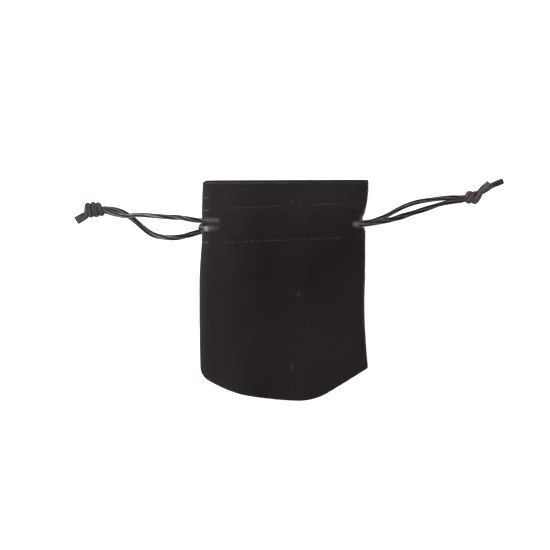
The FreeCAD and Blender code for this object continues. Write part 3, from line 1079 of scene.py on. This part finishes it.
# How the cord's width and its painted light change along it, by distance from the middle of the pouch. The
# painted
# # light is how much light the satin catches, painted into its colour
WIDTHS = {
    "left_cord": {
        "front_strand": [(38, 1.08), (57, 1.06), (60, 0.97), (82, 1.0)],
        "back_strand": [(38, 1.15), (55, 1.15), (60, 1.25), (70, 1.2), (76, 1.0)],
    },
    "right_cord": {
        "front_strand": [(38, 1.0), (49, 1.05), (53, 1.18), (65, 1.15), (72, 1.0)],
        "back_strand": [(38, 1.0), (80, 1.0)],
    },
}
SATIN_LIGHT = {
    "left_cord": {
        "front_strand": [(38, 0.35), (41, 0.4), (44, 0.7), (48, 1.1), (51, 0.8), (55.5, 0.6),
            (58.5, 1.6), (62, 1.8), (67, 1.8), (72, 1.3), (76, 1.5), (79, 1.3),
            (82.5, 0.9)],
        "back_strand": [(38, 0.35), (49, 0.4), (52, 0.8), (55, 1.5), (59, 1.2), (62, 0.65),
            (69, 0.6), (72, 0.8), (78, 0.75), (82.5, 0.9)],
        "knot": [(80, 0.72), (95, 0.72)],
        "front_tail": [(90, 0.85), (97, 0.9)],
        "back_tail": [(90, 0.85), (97, 0.9)],
    },
    "right_cord": {
        "front_strand": [(38, 0.8), (46, 0.75), (49, 0.5), (67, 0.45), (70, 0.7), (76, 0.7),
            (83, 0.65)],
        "back_strand": [(38, 0.75), (46, 0.8), (52, 0.85), (71, 0.85), (76, 0.75), (83, 0.65)],
        "knot": [(80, 1.22), (92, 1.22)],
        "front_tail": [(90, 1.45), (95, 1.25), (96.5, 0.5), (101, 0.5)],
        "back_tail": [(90, 1.6), (95, 1.7)],
    },
}


def knot_axis(knot):
    angle = math.radians(knot["angle"])
    return np.array(knot["centre"]), np.array([math.cos(angle), math.sin(angle), 0.0])


def helix_points(knot, start, end, first_along, pitch, wide=(1.0, 1.0, 1.0), high=1.0):
    """Control points wound round a knot's axis, from one angle in degrees to another."""
    centre, axis = knot_axis(knot)
    flat = np.array([-axis[1], axis[0], 0.0])
    count = int(abs(end - start) / 38) + 1
    points = []
    for turn in np.linspace(start, end, count):
        along = first_along + pitch * abs(turn - start) / 360
        angle_now = math.radians(turn)
        share = abs(turn - start) / abs(end - start)
        wide_now = WRAP_WIDE * np.interp(share, [0.0, 0.5, 1.0], wide)
        points.append(tuple(centre + axis * along + flat * wide_now * math.cos(angle_now)
                            + np.array([0, 0, high * WRAP_HIGH]) * math.sin(angle_now)))
    return points


def knot_core(knot):
    """The strands inside a knot, which only show between its turns, painted dark there as shade."""
    centre, axis = knot_axis(knot)
    line = centre + np.linspace(-knot["half"], knot["half"], 24)[:, None] * axis
    spots = np.linspace(0, 2 * knot["half"], 24)
    sizes = knot["core"] * np.sqrt(np.clip(1 - (np.linspace(-1, 1, 24)) ** 4, 0.05, 1))
    rings, marks = cord_rings(line, spots, sizes, 0 * sizes, 0 * sizes + 0.7, 0 * sizes)
    # Painted shade between the turns, and as light as the cord at its two ends
    shade = np.interp(np.abs(np.linspace(-1, 1, 24)), [0.75, 0.92], [0.3, 1.0])
    return rings, shade[:, None, None] * marks, spots, False, False


def nearest_index(line, place):
    return int(np.linalg.norm(line - np.array(place), axis=1).argmin())


def make_cord(name, body, strands, loop, knot, helices, tails, material):
    """One whole cord on one spline: tail, knot, front strand, loop in the casing, back strand, knot, tail."""
    front, back = strands
    first_wraps, second_wraps = [helix_points(knot, *helix) for helix in helices]
    route = tails[0][::-1] + first_wraps[::-1] + front[::-1] + loop + back + second_wraps + tails[1]
    line, spots = evenly(spline_points(name, route), 0.4)
    enter_front, leave_front, leave_back, enter_back = [
        nearest_index(line, place) for place in (front[-1], front[0], back[0], back[-1])]
    tail_front = nearest_index(line[:enter_front], first_wraps[-1])
    tail_back = enter_back + nearest_index(line[enter_back:], second_wraps[-1])
    last = len(line) - 1

    def window(low, high, before, after):
        """1 along one stretch of the cord, with soft ends."""
        start, end = spots[low], spots[high]
        return between(spots, start - before, start + after, end - after, end + before)

    sizes = np.full(len(line), CORD / 2)
    for low, high in ((tail_front, enter_front), (enter_back, tail_back)):
        sizes += WRAP_SWELL * window(low, high, 1.0, 2.0)
    bight = np.argmax(line[:, 0] * -SIDES[name])
    # The swell and the painted highlight lie on the front side of the turn, where it shows in the slit
    sizes += BIGHT_SWELL[name] * hump(spots, spots[bight] - SWELL_BEFORE, SWELL_WIDTH)
    for low, high in ((0, tail_front), (tail_back, last)):
        sizes += TAIL_SWELL[name] * window(low, high, 2.0, 2.0)
    in_knot = np.maximum(window(0, enter_front, 2.0, 1.0), window(enter_back, last, 2.0, 1.0))
    # Painted light along the cord, stretch by stretch: lighter where the satin catches the light, darker in
    # shade
    satin_light = np.ones(len(line))
    stretches = {"front_tail": (0, tail_front), "knot": (tail_front, enter_front),
                 "front_strand": (enter_front, leave_front), "back_strand": (leave_back, enter_back),
                 "back_tail": (tail_back, len(line))}
    far = np.abs(line[:, 0])
    for stretch, (first, after) in stretches.items():
        satin_light[first:after] = np.interp(far[first:after], *zip(*SATIN_LIGHT[name][stretch]))
        if stretch in WIDTHS[name]:
            sizes[first:after] *= np.interp(far[first:after], *zip(*WIDTHS[name][stretch]))
    satin_light[enter_back:tail_back] = np.interp(far[enter_back:tail_back], *zip(*SATIN_LIGHT[name]["knot"]))
    satin_light, sizes = [np.convolve(np.pad(values, 3, "edge"), np.ones(7) / 7, "valid")
                   for values in (satin_light, sizes)]
    # A painted highlight on the top of the turn
    painted_highlight = BIGHT_HIGHLIGHT[name] * hump(spots, spots[bight] - LIGHT_BEFORE, LIGHT_WIDTH)
    rings, marks = cord_rings(line, spots, sizes, painted_highlight, satin_light, in_knot)

    def part(first, last, cut_start=False, cut_end=False):
        return rings[first:last + 1], marks[first:last + 1], spots[first:last + 1], cut_start, cut_end

    pieces = {
        "front_strand": [part(enter_front, leave_front)],
        "back_strand": [part(leave_back, enter_back)],
        "casing_loop": [part(leave_front, leave_back)],
        "knot": [part(tail_front, enter_front), part(enter_back, tail_back), knot_core(knot)],
        "tails": [part(0, tail_front, True), part(tail_back, last, False, True)],
    }
    for node, tubes in pieces.items():
        piece = pieces[node] = tube_piece(f"{name}_{node}_satin", tubes, material)
        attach(piece, body)
        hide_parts(f"{name}_{node}")
    return pieces


# ---- putting it together

add_camera()
add_studio()

# The first colour of each is the painted shade in the grooves between the ribs
SATIN = cord_material("satin_cord", (0.004, 0.0032, 0.0032), (0.115, 0.104, 0.102))
DARK_SATIN = cord_material("dark_satin_cord", (0.003, 0.0025, 0.0025), (0.075, 0.069, 0.066))
# The turns that each strand makes in its knot: see helix_points
LEFT_TURNS = ((90, 380, -2.9, 6.6, (0.45, 0.45, 0.45), 0.45),
              (270, 1410, -3.85, 2.4, (1.05, 1.4, 1.25), 1.1))
RIGHT_TURNS = ((270, -30, -3.2, 4.9), (90, -330, -3.0, 4.9))
make_cord("left_cord", LEFT_CORD, (LEFT_FRONT_STRAND, LEFT_BACK_STRAND), LEFT_LOOP, LEFT_KNOT, LEFT_TURNS,
          LEFT_TAILS[::-1], SATIN)
make_cord("right_cord", RIGHT_CORD, (RIGHT_FRONT_STRAND, RIGHT_BACK_STRAND), RIGHT_LOOP, RIGHT_KNOT,
          RIGHT_TURNS, RIGHT_TAILS, DARK_SATIN)

VELVET = velvet_material()
THREAD = thread_material("thread", (0.021, 0.019, 0.019))
TACK_THREAD = thread_material("tack_thread", (0.045, 0.042, 0.041))

CLOTHS = {"casing": (casing_cloth, "panel"), "body": (body_cloth, "panel"), "hem": (hem_cloth, "casing_hem")}
LINES = {"upper": UPPER_LINE_Y, "lower": LOWER_LINE_Y}


def place_piece(made, node):
    gather(made)
    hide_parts(node)


for face in ("front", "back"):
    for half in HALVES:
        for part, (build, node) in CLOTHS.items():
            cloth = build(face, half, VELVET)
            place_piece(cloth, f"{face}_{node}")
        for line_name, across in LINES.items():
            stitches = thread_piece(f"{face}_{line_name}_stitches_{half}",
                                    stitch_paths(face, across, half), STITCH_RADIUS, THREAD)
            place_piece(stitches, f"{face}_{line_name}_stitching")

for half in HALVES:
    for part in ("casing", "body"):
        seam = thread_piece(f"seam_stitches_{part}_{half}", seam_paths(half, part), SEAM_RADIUS, THREAD)
        place_piece(seam, "side_and_bottom_seam")

tacks = thread_piece("edge_tacks", tack_paths(), TACK_RADIUS, TACK_THREAD)
place_piece(tacks, "left_edge_tacks")
